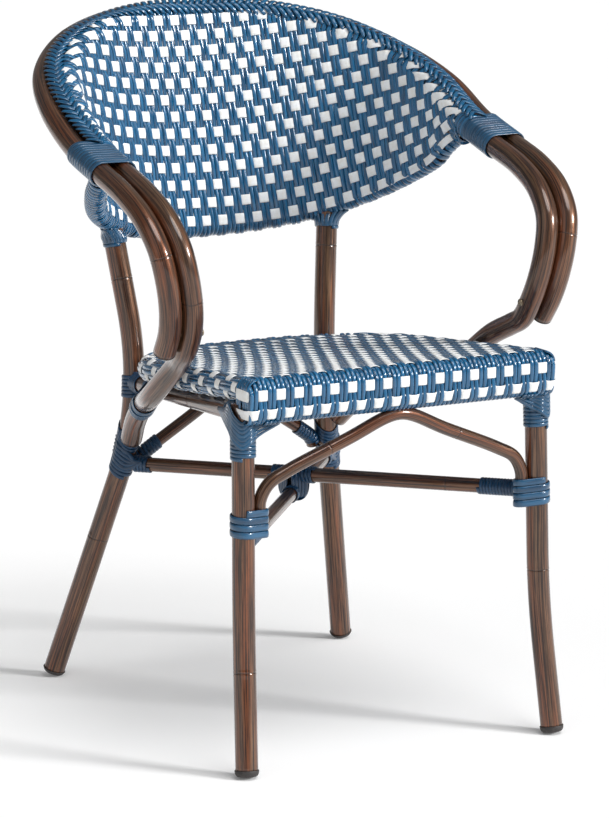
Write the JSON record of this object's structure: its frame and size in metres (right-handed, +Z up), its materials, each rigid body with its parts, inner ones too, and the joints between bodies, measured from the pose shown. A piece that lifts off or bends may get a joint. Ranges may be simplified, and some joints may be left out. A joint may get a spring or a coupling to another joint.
{
  "type": "cafe armchair",
  "caption": "Cafe armchair with a bent round-tube frame in a cane finish, a wrap-round hoop for arms and back, lashed joints, and a blue and white woven seat and back.",
  "frame": {"origin": "on the floor under the middle of the chair's bounding box", "axes": "+Z up, the front of the chair faces -Y, +X to the right as seen from the front"},
  "size_m": [0.5773, 0.598, 0.8216],
  "materials": {
    "cane_finish": "satin brown paint with a cane grain",
    "woven_strand": "blue and white round plastic strand, woven",
    "lashing_strand": "blue plastic strand, wound or braided",
    "dark_plastic": "moulded dark plastic",
    "screw_steel": "plain head"
  },
  "bodies": {
    "root": {"front_leg_left": "cane_finish", "front_leg_right": "cane_finish", "rear_leg_left": "cane_finish", "rear_leg_right": "cane_finish", "outer_hoop": "cane_finish", "inner_hoop": "cane_finish", "back_rail": "cane_finish", "seat_frame": "cane_finish", "front_rail": "cane_finish", "rear_rail": "cane_finish", "side_rail_left": "cane_finish", "side_rail_right": "cane_finish", "front_arch": "cane_finish", "rear_arch": "cane_finish", "stretcher_upper": "cane_finish", "stretcher_lower": "cane_finish", "back_weave": "woven_strand", "seat_weave": "woven_strand", "back_braid": "lashing_strand", "cross_lashing": "lashing_strand", "arm_lashing_left": "lashing_strand", "arch_lashing_left": "lashing_strand", "corner_lashing_left": "lashing_strand", "seat_lashing_left": "lashing_strand", "low_lashing_left": "lashing_strand", "stretcher_sleeve_left": "lashing_strand", "post_lashing_left": "lashing_strand", "arm_tie_left": "lashing_strand", "arm_lashing_right": "lashing_strand", "arch_lashing_right": "lashing_strand", "corner_lashing_right": "lashing_strand", "seat_lashing_right": "lashing_strand", "low_lashing_right": "lashing_strand", "stretcher_sleeve_right": "lashing_strand", "post_lashing_right": "lashing_strand", "arm_tie_right": "lashing_strand", "front_glide_left": "dark_plastic", "front_glide_right": "dark_plastic", "rear_glide_left": "dark_plastic", "rear_glide_right": "dark_plastic", "arm_cap_left": "dark_plastic", "arm_cap_right": "dark_plastic", "arm_screw_left": "screw_steel", "arm_screw_right": "screw_steel"}
  },
  "joints": []
}
